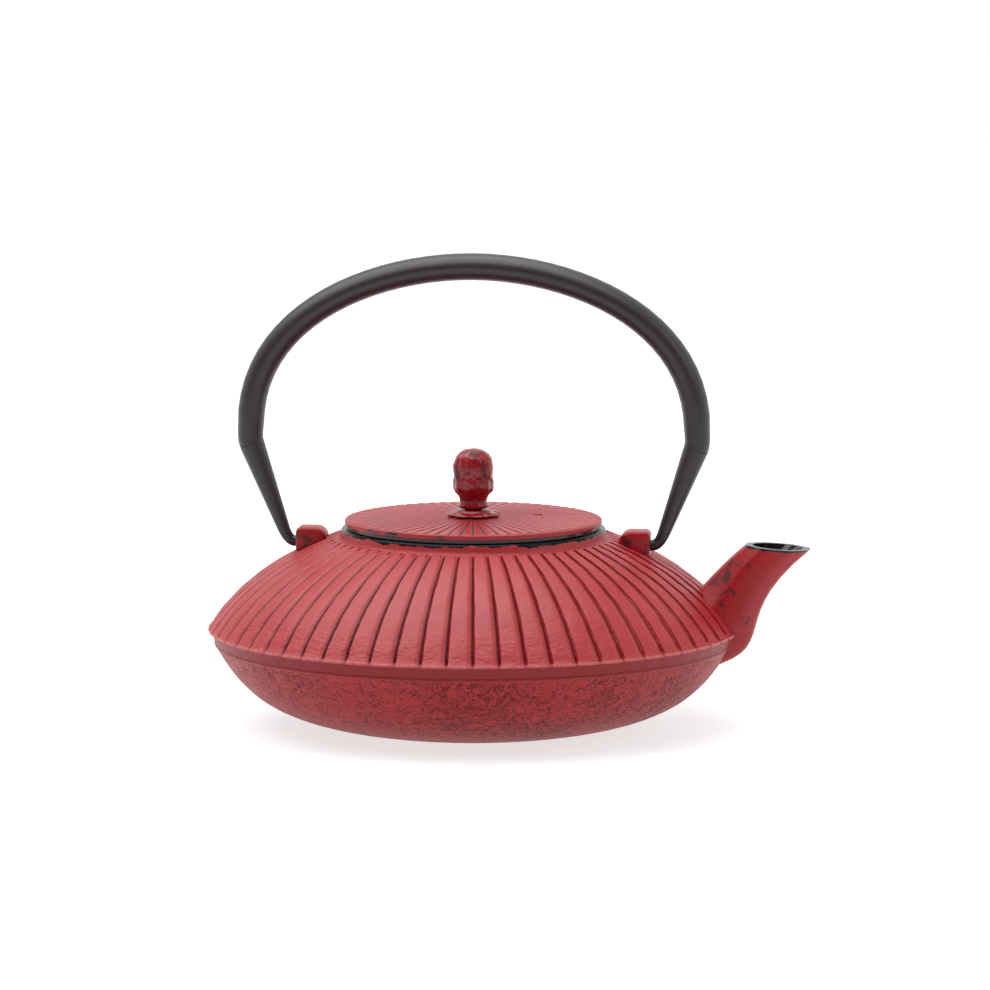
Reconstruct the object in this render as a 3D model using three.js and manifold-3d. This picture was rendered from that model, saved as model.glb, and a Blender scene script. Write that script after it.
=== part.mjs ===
// A flat cast iron teapot with an overhead bail handle, a loose lid with a bolted knob,
// and a stainless steel infuser that hangs in the mouth.
//
// Millimetres, +Z up. The origin is the middle of the pot's flat foot, on the table.
// The spout points along +X. The handle swings about a line along X through the two lugs.

import * as THREE from "three";
import { mergeVertices } from "three/addons/utils/BufferGeometryUtils.js";
import Module from "manifold-3d";

const wasm = await Module();
wasm.setup();

// ---------------------------------------------------------------- driving dimensions

// The free gap between two pieces that touch, and between two that slide past each other.
const contactGap = 0.3;
const slidingGap = 0.8;

// The pot: a plain bowl below and a shoulder above, which meet in a sharp edge.
const potRadius = 82.8; // pot axis to the edge
const rimHeight = 62; // table to the top of the collar
const edgeHeight = 29.4; // table to the underside of the edge
const edgeThickness = 1.6;
const bandHeight = 3.5; // the smooth band between the edge and the bowl
const bandInset = 2.3; // how far in the band meets the bowl
const footRadius = 37;
const potWall = 3;

// The mouth: a low collar with a ledge inside it for the infuser.
const collarRadius = 41.2;
const collarHeight = 2.4;
const collarFlare = 1.8; // how far out the collar's foot meets the shoulder
const ledgeDepth = 1.6; // rim to ledge
const ledgeWidth = 2.7;

// The spout, hollow and cast in one with the pot.
const spoutWall = 2.4;
const spoutReach = 23.8; // the pot's edge to the tip of the lip
const mouthLength = 21; // along X
const mouthWidth = 16.4;
const spoutRootWidth = 22;
const lipDepth = 4.5; // rim to the back of the spout's mouth
const lipDrop = 1.3; // the tip is this much lower than the back

// The lugs on the shoulder, and the handle's pins in them.
const lugSetback = 4.6; // collar to the inner face
const lugLength = 9.6;
const lugWidth = 9;
const lugCover = 4.7; // swing axis to the top of the lug
const pinRadius = 1.7;
const pinDepth = 5.6; // how far each pin reaches into its lug
const pinLift = 2.8; // the shoulder to the swing axis, at the lug's outer face

// The handle: an arch that stands wider than the lugs, on two straight tapering legs.
const archOverhang = 14.4; // lug's outer face to the middle of the bar at its widest
const archRise = 50.2; // widest point to the middle of the bar at the top
const bendRise = 6; // joint to the widest point
const legRise = 30.4; // swing axis to the joint
const gripThickness = 8.4; // in the plane of the arch
const gripWidth = 10.4; // across it
const jointThickness = 7.8; // where the arch meets a leg
const jointWidth = 9.2;
const handleWall = 1.6;
const spigotLength = 6;
const boreOverrun = 1; // how far a cut runs out past the end that it opens

// The lid: a disc with a step that seats on the collar and a skirt that hangs in the infuser.
const lidSetback = 1.1; // the lid is this much smaller in radius than the collar
const lidEdge = 1.8;
const lidStep = 0.9; // how far the step stands below the underside of the edge
const seatOverlap = 1;
const lidCrown = 0.6; // rise from the edge to the middle
const skirtDepth = 5;
const skirtWall = 2.4;
const ventRadius = 1.5;
const ventDistance = 20.6; // from the middle of the lid
const ventAngle = 19; // degrees round from the spout

// The knob, the flower washer under it, and the parts that fasten it.
const headHeight = 14.1;
const headRadius = 6.5;
const neckRadius = 4.5;
const neckHeight = 4.6;
const rosetteRadius = 8.3;
const rosetteThickness = 1.9;
const petals = 8;
const studRadius = 2;
const washerRadius = 5;
const washerThickness = 0.8;
const nutAcrossFlats = 7;
const nutHeight = 3.2;

// The infuser: a flanged rim, a perforated wall, and a base held in a ring, all of sheet steel.
const sheet = 0.5;
const infuserDepth = 44; // underside of the flange to the underside of the base ring
const rimBandHeight = 5;
const baseRingHeight = 4;
const baseRingLip = 2.5; // how far the base ring reaches under the base

// How finely round shapes are divided.
const roundSteps = 48;
const smallSteps = 20;
const barSides = 12;
const archSteps = 30;

// ---------------------------------------------------------------- where things meet

const ledgeRadius = collarRadius - potWall;
const throatRadius = ledgeRadius - ledgeWidth;
const ledgeHeight = rimHeight - ledgeDepth;

const flangeRadius = ledgeRadius - contactGap;
const flangeBottom = ledgeHeight + contactGap;
const bandRadius = throatRadius - contactGap; // outside of the infuser's rim and base ring
const sleeveRadius = bandRadius - sheet - contactGap; // outside of the infuser's wall
const infuserBottom = flangeBottom - infuserDepth;
const baseBottom = infuserBottom + sheet + contactGap;
const baseTop = baseBottom + sheet;

const lidRadius = collarRadius - lidSetback;
const stepRadius = ledgeRadius + seatOverlap;
const skirtRadius = sleeveRadius - sheet - slidingGap;
const lidBottom = rimHeight + contactGap;
const edgeBottom = lidBottom + lidStep;
const edgeTop = edgeBottom + lidEdge;
const lidTop = edgeTop + lidCrown;

const rosetteBottom = lidTop + contactGap;
const rosetteTop = rosetteBottom + rosetteThickness;
const knobBottom = rosetteTop + contactGap;
const washerTop = lidBottom - contactGap;
const washerBottom = washerTop - washerThickness;
const nutTop = washerBottom - contactGap;
const nutBottom = nutTop - nutHeight;
const studHoleRadius = studRadius + contactGap;

// ---------------------------------------------------------------- tools

// A closed geometry as a solid that can be joined and cut.
function solidOf(geometry) {
  const bare = geometry.clone();
  bare.deleteAttribute("normal");
  bare.deleteAttribute("uv");
  const merged = mergeVertices(bare, 1e-4);
  const corners = [];
  for (let i = 0; i < merged.index.count; i += 3) {
    const [a, b, c] = [0, 1, 2].map((k) => merged.index.getX(i + k));
    if (a !== b && b !== c && c !== a) corners.push(a, b, c);
  }
  return new wasm.Manifold(
    new wasm.Mesh({
      numProp: 3,
      vertProperties: merged.getAttribute("position").array,
      triVerts: new Uint32Array(corners),
    }),
  );
}

// A solid as a geometry with flat faces.
function geometryOf(solid) {
  const mesh = solid.getMesh();
  const geometry = new THREE.BufferGeometry();
  geometry.setAttribute("position", new THREE.BufferAttribute(mesh.vertProperties, 3));
  geometry.setIndex(new THREE.BufferAttribute(mesh.triVerts, 1));
  const faceted = geometry.toNonIndexed();
  faceted.computeVertexNormals();
  return faceted;
}

// A profile of [radius, height] pairs turned about the Z axis. With +X to the right, the profile
// runs anticlockwise round its material.
function turned(profile, steps = roundSteps) {
  const points = profile.map(([radius, height]) => new THREE.Vector2(radius, height));
  return new THREE.LatheGeometry(points, steps).rotateX(Math.PI / 2);
}

// A ring with a rectangular section.
function ring(inner, outer, bottom, top, steps = roundSteps) {
  return turned([[inner, bottom], [outer, bottom], [outer, top], [inner, top], [inner, bottom]], steps);
}

// An upright cylinder.
function post(radius, bottom, top, steps = smallSteps) {
  return turned([[0, bottom], [radius, bottom], [radius, top], [0, top]], steps);
}

// A bar in the XZ plane whose oval section changes along it. "station" takes the share of the way
// along, from 0 to 1, and gives the section's middle, its half axis in the plane, and its half width.
function bar(station, steps, sides = barSides) {
  const geometry = new THREE.CylinderGeometry(1, 1, 1, sides, steps).rotateX(Math.PI / 2);
  const position = geometry.getAttribute("position");
  for (let i = 0; i < position.count; i++) {
    const share = THREE.MathUtils.clamp(position.getZ(i) + 0.5, 0, 1);
    const { middle, halfAxis, halfWidth } = station(share);
    const along = position.getX(i);
    const across = position.getY(i);
    position.setXYZ(
      i,
      middle.x + halfAxis.x * along,
      halfWidth * across,
      middle.y + halfAxis.y * along,
    );
  }
  return geometry;
}

// The half axis of a bar's section, square to the bar's direction.
function squareTo(direction, length) {
  return new THREE.Vector2(direction.y, -direction.x).setLength(length);
}

// A point between two others, with its own share of the way along in each direction.
function between(from, to, acrossShare, upShare) {
  return new THREE.Vector2(
    THREE.MathUtils.lerp(from.x, to.x, acrossShare),
    THREE.MathUtils.lerp(from.y, to.y, upShare),
  );
}

// The same piece on the other side of the pot: turned half round.
function opposite(geometry) {
  return geometry.clone().rotateZ(Math.PI);
}

// A named mesh for one piece.
function piece(name, geometry, material) {
  const mesh = new THREE.Mesh(geometry, material);
  mesh.name = name;
  return mesh;
}

// ---------------------------------------------------------------- materials

const redIron = new THREE.MeshStandardMaterial({ color: 0xa83238, roughness: 0.5, metalness: 0.1 });
const blackSteel = new THREE.MeshStandardMaterial({ color: 0x3c3438, roughness: 0.5, metalness: 0.3 });
const stainless = new THREE.MeshStandardMaterial({ color: 0xb9bcc0, roughness: 0.3, metalness: 1 });

// ---------------------------------------------------------------- the pot

// The outline of the bowl, from the foot up to the band, and of the shoulder, from the edge to the
// collar, as radius and height.
const foot = new THREE.Vector2(footRadius, 0);
const bowlTop = new THREE.Vector2(potRadius - bandInset, edgeHeight - bandHeight);
const bowl = new THREE.CubicBezierCurve(
  foot,
  between(foot, bowlTop, 0.6, 0.14),
  between(foot, bowlTop, 0.809, 0.415),
  bowlTop,
);

const shoulderFoot = new THREE.Vector2(potRadius - 0.4, edgeHeight + edgeThickness);
const collarFoot = new THREE.Vector2(collarRadius + collarFlare, rimHeight - collarHeight);
const shoulder = new THREE.CubicBezierCurve(
  shoulderFoot,
  between(shoulderFoot, collarFoot, 0.206, 0.443),
  between(shoulderFoot, collarFoot, 0.55, 0.781),
  collarFoot,
);

// Points along an outline, from one share of it to another, moved into the wall by a distance.
function along(outline, steps, distance = 0, from = 0, to = 1) {
  const points = [];
  for (let i = 0; i <= steps; i++) {
    const share = THREE.MathUtils.lerp(from, to, i / steps);
    const point = outline.getPoint(share);
    const direction = outline.getTangent(share);
    points.push([point.x - direction.y * distance, point.y + direction.x * distance]);
  }
  return points;
}

function potOutside() {
  const round = 0.4;
  return turned([
    [0, 0],
    ...along(bowl, 8),
    [potRadius - round, edgeHeight - round],
    [potRadius, edgeHeight],
    [potRadius, shoulderFoot.y - round],
    ...along(shoulder, 9),
    [collarRadius + round, rimHeight - collarHeight * 0.6],
    [collarRadius, rimHeight - round],
    [collarRadius - round, rimHeight],
    [0, rimHeight],
  ]);
}

function potCavity() {
  const lowerWall = along(bowl, 6, potWall, 0.12);
  const upperWall = along(shoulder, 7, potWall, 0.04, 0.98);
  return turned([
    [0, potWall],
    [footRadius, potWall],
    ...lowerWall,
    ...upperWall,
    [throatRadius, upperWall.at(-1)[1]],
    [throatRadius, ledgeHeight],
    [ledgeRadius, ledgeHeight],
    [ledgeRadius, rimHeight + 1],
    [0, rimHeight + 1],
  ]);
}

// The spout's back and front outlines in the XZ plane. Both start inside the pot's wall.
const [backRoot, frontRoot] = [along(shoulder, 1, potWall / 2, 0.36)[0], along(bowl, 1, potWall / 2, 0.77)[0]]
  .map(([radius, height]) => new THREE.Vector2(radius, height));
const lipTip = new THREE.Vector2(potRadius + spoutReach, rimHeight - lipDepth - lipDrop);
const lipBack = new THREE.Vector2(lipTip.x - mouthLength, rimHeight - lipDepth);
const spoutBack = new THREE.QuadraticBezierCurve(
  backRoot,
  between(backRoot, lipBack, 0.5, 0.57),
  lipBack,
);
const spoutFront = new THREE.CubicBezierCurve(
  frontRoot,
  between(frontRoot, lipTip, 0.8, 0.19),
  between(frontRoot, lipTip, 0.175, 0.4),
  lipTip,
);

// The spout between its two outlines, thinned all round by "wall". Its inner end can be drawn
// further into the pot.
function spoutBar(wall = 0, reachIn = 0) {
  const station = (share) => {
    const back = spoutBack.getPoint(share);
    const front = spoutFront.getPoint(share);
    const middle = between(back, front, 0.5, 0.5);
    if (share === 0) middle.x -= reachIn;
    const width = THREE.MathUtils.lerp(spoutRootWidth, mouthWidth, Math.sin((share * Math.PI) / 2));
    const halfAxis = front.sub(back).multiplyScalar(0.5);
    return {
      middle,
      halfAxis: halfAxis.setLength(halfAxis.length() - wall),
      halfWidth: width / 2 - wall,
    };
  };
  return bar(station, 10, smallSteps);
}

// The last stretch of the spout's channel, out through the plane of the mouth.
function spoutMouth() {
  const halfAxis = lipTip.clone().sub(lipBack).multiplyScalar(0.5);
  const upward = new THREE.Vector2(-halfAxis.y, halfAxis.x).normalize();
  const middle = between(lipBack, lipTip, 0.5, 0.5);
  halfAxis.setLength(halfAxis.length() - spoutWall);
  const station = (share) => ({
    middle: middle.clone().addScaledVector(upward, 2 * share - 0.01),
    halfAxis,
    halfWidth: mouthWidth / 2 - spoutWall,
  });
  return bar(station, 1, smallSteps);
}

// The lugs stand on the shoulder, and the swing axis is a set lift above it.
const lugInner = collarRadius + lugSetback;
const lugOuter = lugInner + lugLength;
const pinHeight = shoulderHeight(lugOuter) + pinLift;
const lugTop = pinHeight + lugCover;

// The height of the shoulder's surface at a radius.
function shoulderHeight(radius) {
  let low = 0;
  let high = 1;
  for (let i = 0; i < 30; i++) {
    const middle = (low + high) / 2;
    if (shoulder.getPoint(middle).x > radius) low = middle;
    else high = middle;
  }
  return shoulder.getPoint(low).y;
}

// A lug seen from the front: upright outside, sloping inside, and sunk half into the wall.
function lugBlock() {
  const sunk = shoulderHeight(lugOuter) - potWall * 0.6;
  const bevel = 1;
  const corner = 1.6;
  const outline = new THREE.Shape();
  outline.moveTo(lugInner + bevel, sunk + bevel);
  outline.lineTo(lugOuter - bevel, sunk + bevel);
  outline.lineTo(lugOuter - bevel, lugTop - bevel - corner);
  outline.quadraticCurveTo(lugOuter - bevel, lugTop - bevel, lugOuter - bevel - corner, lugTop - bevel);
  outline.lineTo(lugInner + lugLength * 0.4, lugTop - bevel);
  outline.quadraticCurveTo(
    lugInner + lugLength * 0.22, lugTop - bevel,
    lugInner + bevel, lugTop - lugLength * 0.42 - bevel,
  );
  const block = new THREE.ExtrudeGeometry(outline, {
    depth: lugWidth - 2 * bevel,
    bevelThickness: bevel,
    bevelSize: bevel,
    bevelSegments: 3,
    curveSegments: 4,
  });
  return block.translate(0, 0, bevel - lugWidth / 2).rotateX(Math.PI / 2);
}

// The blind hole for a pin, from the lug's outer face inwards.
function lugHole() {
  const radius = pinRadius + contactGap;
  const bottom = lugOuter - pinDepth - contactGap;
  const length = lugOuter + 1 - bottom;
  const hole = new THREE.CylinderGeometry(radius, radius, length, smallSteps);
  return hole.rotateZ(Math.PI / 2).translate(bottom + length / 2, 0, pinHeight);
}

function potBody() {
  return solidOf(potOutside())
    .add(solidOf(spoutBar()))
    .add(solidOf(lugBlock()))
    .add(solidOf(opposite(lugBlock())))
    .subtract(solidOf(potCavity()))
    .subtract(solidOf(spoutBar(spoutWall, potWall)))
    .subtract(solidOf(spoutMouth()))
    .subtract(solidOf(lugHole()))
    .subtract(solidOf(opposite(lugHole())));
}

// ---------------------------------------------------------------- the handle

// The joint between the arch and a leg, and the knee where the leg starts to hook into its lug.
const archRadius = lugOuter + archOverhang;
const joint = new THREE.Vector2(archRadius - 0.3, pinHeight + legRise);
const knee = new THREE.Vector2(lugOuter + 4.3, pinHeight + 4.2);
const legDirection = knee.clone().sub(joint).normalize(); // down the leg

// The middle line of the whole arch, from the joint on the spout's side to the other one.
function archLine() {
  const widest = joint.y + bendRise;
  const top = widest + archRise;
  const turn = joint.y + ((archRadius - joint.x) * legDirection.y) / legDirection.x;
  const line = new THREE.Path();
  line.moveTo(joint.x, joint.y);
  line.quadraticCurveTo(archRadius, turn, archRadius, widest);
  line.bezierCurveTo(archRadius, widest + archRise * 0.68, archRadius * 0.46, top, 0, top);
  line.bezierCurveTo(-archRadius * 0.46, top, -archRadius, widest + archRise * 0.68, -archRadius, widest);
  line.quadraticCurveTo(-archRadius, turn, -joint.x, joint.y);
  return line;
}

// The arch is a tube, a little slimmer at its two ends. This is its section, thinned by "wall",
// and at the ends it is drawn out past the joint by "overrun".
const archMiddle = archLine();
const archLength = archMiddle.getLength();

function archSection(share, wall, overrun = 0) {
  const middle = archMiddle.getPointAt(share);
  const direction = archMiddle.getTangentAt(share);
  if (share === 0) middle.addScaledVector(direction, -overrun);
  if (share === 1) middle.addScaledVector(direction, overrun);
  const fromEnd = Math.min(share, 1 - share) * archLength;
  const grown = THREE.MathUtils.smoothstep(fromEnd, 0, 2 * bendRise);
  const halfThickness = THREE.MathUtils.lerp(jointThickness, gripThickness, grown) / 2;
  return {
    middle,
    halfAxis: squareTo(direction, halfThickness - wall),
    halfWidth: THREE.MathUtils.lerp(jointWidth, gripWidth, grown) / 2 - wall,
  };
}

function handleArch() {
  const outside = bar((share) => archSection(share, 0), archSteps);
  const bore = bar((share) => archSection(share, handleWall, boreOverrun), archSteps);
  return solidOf(outside).subtract(solidOf(bore));
}

// A leg tapers from the joint to the knee, then hooks inwards and ends as a pin in the lug.
function legBar() {
  const start = joint.clone().addScaledVector(legDirection, contactGap);
  const elbow = knee.x + ((pinHeight - knee.y) * legDirection.x) / legDirection.y;
  const line = new THREE.Path();
  line.moveTo(start.x, start.y);
  line.lineTo(knee.x, knee.y);
  line.quadraticCurveTo(elbow, pinHeight, lugOuter + 0.5, pinHeight);
  line.lineTo(lugOuter - pinDepth, pinHeight);
  const length = line.getLength();
  const taper = joint.distanceTo(knee) + 4;
  const station = (share) => {
    const thinned = Math.min(1, (share * length) / taper);
    return {
      middle: line.getPointAt(share),
      halfAxis: squareTo(
        line.getTangentAt(share),
        THREE.MathUtils.lerp(jointThickness / 2, pinRadius, thinned),
      ),
      halfWidth: THREE.MathUtils.lerp(jointWidth / 2, pinRadius, thinned),
    };
  };
  return bar(station, 20);
}

// The stub on top of a leg that plugs into the end of the arch. It starts a little way down inside
// the leg and follows the first straight stretch of the arch's bore.
function legSpigot() {
  const clearance = handleWall + contactGap;
  const root = archSection(0, clearance, boreOverrun);
  const tip = archSection(1 / archSteps, clearance);
  const stretch = root.middle.distanceTo(tip.middle);
  const station = (share) => {
    const reach = (share * (boreOverrun + spigotLength)) / stretch;
    return {
      middle: between(root.middle, tip.middle, reach, reach),
      halfAxis: between(root.halfAxis, tip.halfAxis, reach, reach),
      halfWidth: THREE.MathUtils.lerp(root.halfWidth, tip.halfWidth, reach),
    };
  };
  return bar(station, 1);
}

function handleLeg() {
  return geometryOf(solidOf(legBar()).add(solidOf(legSpigot())));
}

// ---------------------------------------------------------------- the lid and its knob

function lidPlate() {
  const skirtInner = skirtRadius - skirtWall;
  const round = 0.4;
  const plate = turned([
    [0, lidBottom],
    [skirtInner, lidBottom],
    [skirtInner, lidBottom - skirtDepth],
    [skirtRadius, lidBottom - skirtDepth],
    [skirtRadius, lidBottom],
    [stepRadius, lidBottom],
    [stepRadius, edgeBottom],
    [lidRadius - round, edgeBottom],
    [lidRadius, edgeBottom + round],
    [lidRadius, edgeTop - round],
    [lidRadius - round, edgeTop],
    [lidRadius * 0.5, edgeTop + lidCrown * 0.75],
    [0, lidTop],
  ]);
  const studHole = post(studHoleRadius, lidBottom - 1, lidTop + 1);
  const vent = post(ventRadius, lidBottom - 1, lidTop + 1, barSides);
  vent.translate(ventDistance, 0, 0).rotateZ(THREE.MathUtils.degToRad(ventAngle));
  return solidOf(plate).subtract(solidOf(studHole)).subtract(solidOf(vent));
}

// Head, neck and threaded stud in one casting. The head is a bud: straight below, domed on top.
function knob() {
  const headBottom = knobBottom + neckHeight;
  const domeBottom = headBottom + headHeight - headRadius;
  const dome = [1, 2, 3, 4].map((step) => {
    const angle = (step * Math.PI) / 10;
    return [headRadius * Math.cos(angle), domeBottom + headRadius * Math.sin(angle)];
  });
  return turned([
    [0, nutBottom - 0.8],
    [studRadius, nutBottom - 0.8],
    [studRadius, knobBottom],
    [neckRadius - 0.3, knobBottom],
    [neckRadius, knobBottom + neckHeight * 0.3],
    [neckRadius, knobBottom + neckHeight * 0.85],
    [headRadius, headBottom + 1.2],
    [headRadius, domeBottom],
    ...dome,
    [0, domeBottom + headRadius],
  ], smallSteps);
}

// A flat flower with a raised middle.
function rosette() {
  const outline = new THREE.Shape();
  const steps = 8 * petals;
  for (let i = 0; i < steps; i++) {
    const angle = (i / steps) * 2 * Math.PI;
    const lobe = Math.sqrt(Math.abs(Math.cos((angle * petals) / 2)));
    const radius = rosetteRadius * (0.84 + 0.16 * lobe);
    if (i === 0) outline.moveTo(radius, 0);
    else outline.lineTo(radius * Math.cos(angle), radius * Math.sin(angle));
  }
  const leaves = new THREE.ExtrudeGeometry(outline, {
    depth: rosetteThickness * 0.6,
    bevelEnabled: false,
  });
  leaves.translate(0, 0, rosetteBottom);
  const boss = post(neckRadius + 0.8, rosetteBottom, rosetteTop);
  const hole = post(studHoleRadius, rosetteBottom - 1, rosetteTop + 1);
  return solidOf(leaves).add(solidOf(boss)).subtract(solidOf(hole));
}

function nut() {
  const cornerRadius = nutAcrossFlats / 2 / Math.cos(Math.PI / 6);
  const block = post(cornerRadius, nutBottom, nutTop, 6);
  const hole = post(studHoleRadius, nutBottom - 1, nutTop + 1);
  return solidOf(block).subtract(solidOf(hole));
}

// ---------------------------------------------------------------- the infuser

// A flange on the ledge, and a band that hangs from it round the top of the wall.
function infuserRim() {
  const inner = bandRadius - sheet;
  return turned([
    [inner, flangeBottom - rimBandHeight],
    [bandRadius, flangeBottom - rimBandHeight],
    [bandRadius, flangeBottom],
    [flangeRadius, flangeBottom],
    [flangeRadius, flangeBottom + sheet],
    [inner, flangeBottom + sheet],
    [inner, flangeBottom - rimBandHeight],
  ]);
}

function infuserWall() {
  return ring(sleeveRadius - sheet, sleeveRadius, baseTop + contactGap, flangeBottom);
}

// A ring that reaches up round the foot of the wall and in under the base.
function infuserBaseRing() {
  const inner = bandRadius - sheet;
  const lip = sleeveRadius - baseRingLip;
  return turned([
    [lip, infuserBottom],
    [bandRadius, infuserBottom],
    [bandRadius, infuserBottom + baseRingHeight],
    [inner, infuserBottom + baseRingHeight],
    [inner, infuserBottom + sheet],
    [lip, infuserBottom + sheet],
    [lip, infuserBottom],
  ]);
}

// ---------------------------------------------------------------- the assembly

const knobWasher = ring(studHoleRadius, washerRadius, washerBottom, washerTop, smallSteps);
const leg = handleLeg();

const teapot = new THREE.Group();
teapot.add(
  piece("pot_body", geometryOf(potBody()), redIron),
  piece("handle_arch", geometryOf(handleArch()), blackSteel),
  piece("handle_leg_spout", leg, blackSteel),
  piece("handle_leg_rear", opposite(leg), blackSteel),
  piece("lid", geometryOf(lidPlate()), redIron),
  piece("lid_knob", knob(), redIron),
  piece("knob_rosette", geometryOf(rosette()), redIron),
  piece("knob_washer", knobWasher, stainless),
  piece("knob_nut", geometryOf(nut()), stainless),
  piece("infuser_rim", infuserRim(), stainless),
  piece("infuser_wall", infuserWall(), stainless),
  piece("infuser_base", post(sleeveRadius, baseBottom, baseTop, roundSteps), stainless),
  piece("infuser_base_ring", infuserBaseRing(), stainless),
);

export default teapot;
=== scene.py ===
import math

import bmesh
import bpy
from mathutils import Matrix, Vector
from mathutils.geometry import interpolate_bezier


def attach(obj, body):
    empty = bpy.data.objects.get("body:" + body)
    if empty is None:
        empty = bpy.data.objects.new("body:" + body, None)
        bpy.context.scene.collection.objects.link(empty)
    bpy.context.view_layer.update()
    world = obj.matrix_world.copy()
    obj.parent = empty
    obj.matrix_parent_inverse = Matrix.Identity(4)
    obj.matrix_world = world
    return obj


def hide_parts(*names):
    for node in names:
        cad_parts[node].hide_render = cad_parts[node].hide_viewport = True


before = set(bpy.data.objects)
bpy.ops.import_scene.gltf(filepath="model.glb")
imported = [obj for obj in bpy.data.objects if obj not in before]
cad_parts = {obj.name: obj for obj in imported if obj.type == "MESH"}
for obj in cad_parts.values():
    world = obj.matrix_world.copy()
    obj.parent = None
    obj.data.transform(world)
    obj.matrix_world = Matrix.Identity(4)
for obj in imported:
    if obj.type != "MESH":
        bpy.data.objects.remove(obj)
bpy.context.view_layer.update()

# ------------------------------------------------------------------ the pot
# The pot is one thin iron casting with its spout and its two lugs. It is sand cast, enamelled black
# inside, and painted red outside over a dark wash that stays in the grooves between its 64 ribs.

MM = 0.001
RIBS = 64
HALF_RIB = math.tan(math.pi / RIBS)  # half a rib's width, as a share of the radius
WALL = 3.0
TOUCHING = 0.004  # points closer than this are one
BOWL_TOP = 25.9
EDGE_LOW, EDGE_HIGH = 29.8, 31  # the rounded edge between the band and the shoulder


def start(name, add, **settings):
    """Adds a primitive with nothing else selected, and opens it for editing."""
    bpy.ops.object.select_all(action="DESELECT")
    add(**settings)
    piece = bpy.context.object
    piece.name = piece.data.name = name
    bpy.ops.object.transform_apply()
    bpy.ops.object.mode_set(mode="EDIT")
    bpy.ops.mesh.select_mode(type="VERT")
    bpy.ops.mesh.select_all(action="SELECT")
    return piece


def pick(piece, wanted):
    """Selects the vertices whose place, in millimetres, passes the test."""
    bpy.ops.mesh.select_mode(type="VERT")
    bpy.ops.mesh.select_all(action="DESELECT")
    shape = bmesh.from_edit_mesh(piece.data)
    for vertex in shape.verts:
        if wanted(vertex.co / MM):
            vertex.select_set(True)
    shape.select_flush_mode()
    bmesh.update_edit_mesh(piece.data)


def line(*ends, steps):
    """Points along a smooth line: its start, two pulls and its end, as radius and height."""
    return [(p.x, p.y) for p in interpolate_bezier(*[Vector((*e, 0)) for e in ends], steps)]


def moved_in(points, wall):
    """A line of points moved into the wall behind it."""
    moved = []
    for i, point in enumerate(points):
        before, after = Vector(points[max(i - 1, 0)]), Vector(points[min(i + 1, len(points) - 1)])
        way = (after - before).normalized()
        moved.append((point[0] - way.y * wall, point[1] + way.x * wall))
    return moved


def strip(name, across, outline):
    """One rib's share of a round, over the +X axis: a point pulled across it, then that row pulled
    along an outline of (radius, height). Its columns are shares of half a rib, from -1 to 1."""
    piece = start(name, bpy.ops.mesh.primitive_plane_add, size=MM)
    bpy.ops.mesh.merge(type="CENTER")
    radius, height = outline[0]
    half = radius * HALF_RIB * MM
    bpy.ops.transform.translate(value=(radius * MM, across[0] * half, height * MM))
    for before, after in zip(across, across[1:]):
        bpy.ops.mesh.extrude_region_move(
            TRANSFORM_OT_translate={"value": (0, (after - before) * half, 0)})
    bpy.ops.mesh.select_all(action="SELECT")
    for before, after in zip(outline, outline[1:]):
        step = ((after[0] - before[0]) * MM, 0, (after[1] - before[1]) * MM)
        bpy.ops.mesh.extrude_region_move(TRANSFORM_OT_translate={"value": step})
        bpy.ops.transform.resize(value=(1, after[0] / before[0], 1), center_override=(0, 0, 0))
    return piece


def close_up(piece):
    """Merges what meets, turns every face outwards and leaves edit mode."""
    bpy.ops.mesh.select_all(action="SELECT")
    bpy.ops.mesh.remove_doubles(threshold=TOUCHING * MM)
    bpy.ops.mesh.normals_make_consistent(inside=False)
    bpy.ops.object.mode_set(mode="OBJECT")


def spun_round():
    """Repeats one rib's share all the way round."""
    bpy.ops.mesh.select_all(action="SELECT")
    bpy.ops.mesh.spin(steps=RIBS - 1, dupli=True, angle=2 * math.pi * (RIBS - 1) / RIBS,
                      center=(0, 0, 0), axis=(0, 0, 1))
    bpy.ops.mesh.select_all(action="SELECT")
    bpy.ops.mesh.remove_doubles(threshold=TOUCHING * MM)


def turned(name, outline, sides):
    """A round shape: a circle pulled through rings of (radius, height), with its ends filled."""
    radius, height = outline[0]
    piece = start(name, bpy.ops.mesh.primitive_circle_add, vertices=sides, radius=radius * MM,
                  location=(0, 0, height * MM))
    for wide, high in outline[1:]:
        bpy.ops.mesh.extrude_region_move(
            TRANSFORM_OT_translate={"value": (0, 0, (high - height) * MM)})
        bpy.ops.transform.resize(value=(wide / radius, wide / radius, 1))
        radius, height = wide, high
    bpy.ops.mesh.select_all(action="SELECT")
    bpy.ops.mesh.remove_doubles(threshold=TOUCHING * MM)
    bpy.ops.mesh.fill_holes(sides=0)
    return piece


def pulled(piece, stations):
    """Pulls the open outline being edited, 1 in radius, along a row of stations in the XZ plane.
    A station is its middle x and z, its direction, and its half sizes in the plane and across."""
    for i in range(1, len(stations)):
        bpy.ops.mesh.extrude_region_move(TRANSFORM_OT_translate={"value": (0, 0, 1)})
    for i, (x, z, (right, up), thick, wide) in enumerate(stations):
        pick(piece, lambda place: abs(place.z * MM - i) < 0.5)
        bpy.ops.transform.resize(value=(thick * MM, wide * MM, 1), center_override=(0, 0, i))
        bpy.ops.transform.rotate(value=-math.atan2(right, up), orient_axis="Y",
                                 center_override=(0, 0, i))
        bpy.ops.transform.translate(value=(x * MM, 0, z * MM - i))
    bpy.ops.mesh.select_all(action="SELECT")
    bpy.ops.mesh.fill_holes(sides=0)


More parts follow.
